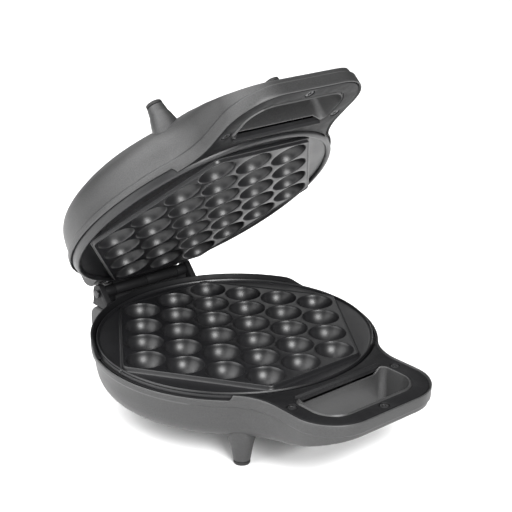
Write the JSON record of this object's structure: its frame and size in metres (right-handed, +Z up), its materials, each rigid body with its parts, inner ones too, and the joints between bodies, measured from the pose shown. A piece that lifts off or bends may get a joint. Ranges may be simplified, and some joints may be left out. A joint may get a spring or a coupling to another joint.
{
  "type": "donut maker",
  "caption": "Round donut maker: mirrored halves hinged at the rear, cupped non-stick plates, loop handles at the front and cone feet on both sides.",
  "frame": {"origin": "on the table, under the centre of the object's box with the lid open as stored", "axes": "+Z up, -Y towards the handles, +Y towards the hinge, +X to the right of someone who faces the hinge from the handles"},
  "size_m": [0.198, 0.2858, 0.2474],
  "materials": {
    "shell_silver": "satin metallic silver-grey paint",
    "trim_black": "fine matte black",
    "nonstick": "satin near-black non-stick coating on a casting",
    "heater_sheath": "oxidised sheath",
    "zinc_steel": "plated sheet and wire",
    "heatproof_white": "heat-proof insulation",
    "screw_dark": "blackened",
    "hinge_dark": "satin dark grey paint",
    "foot_rubber": "matte",
    "lens_red": "clear tinted",
    "lens_green": "clear tinted"
  },
  "bodies": {
    "base": {"base_shell": "shell_silver", "base_handle_cover": "trim_black", "base_frame": "trim_black", "base_plate": "nonstick", "base_element": "heater_sheath", "base_element_clips": "zinc_steel", "base_reflector": "zinc_steel", "base_thermostat": "heatproof_white", "base_thermal_fuse": "heatproof_white", "base_plate_screws": "zinc_steel", "base_cover_screws": "screw_dark", "base_foot_pads": "foot_rubber", "base_wiring": "heatproof_white", "terminal_block": "heatproof_white", "cord_gland": "trim_black", "hinge_bracket": "hinge_dark", "hinge_bracket_screws": "screw_dark", "hinge_pin": "screw_dark"},
    "lid": {"lid_shell": "shell_silver", "lid_handle_cover": "trim_black", "lid_frame": "trim_black", "lid_plate": "nonstick", "lid_element": "heater_sheath", "lid_element_clips": "zinc_steel", "lid_reflector": "zinc_steel", "lid_thermal_fuse": "heatproof_white", "lid_plate_screws": "zinc_steel", "lid_cover_screws": "screw_dark", "lid_foot_pads": "foot_rubber", "lid_wiring": "heatproof_white", "hinge_leaf": "hinge_dark", "hinge_leaf_screws": "screw_dark", "power_lens": "lens_red", "ready_lens": "lens_green", "lamp_holder": "heatproof_white"}
  },
  "joints": [
    {"name": "lid_hinge", "type": "hinge", "parent": "base", "child": "lid", "pos_m": [0, 0.11642, 0.0597], "axis": [-1, 0, 0], "range_deg": [-43.8, 46.2]}
  ]
}
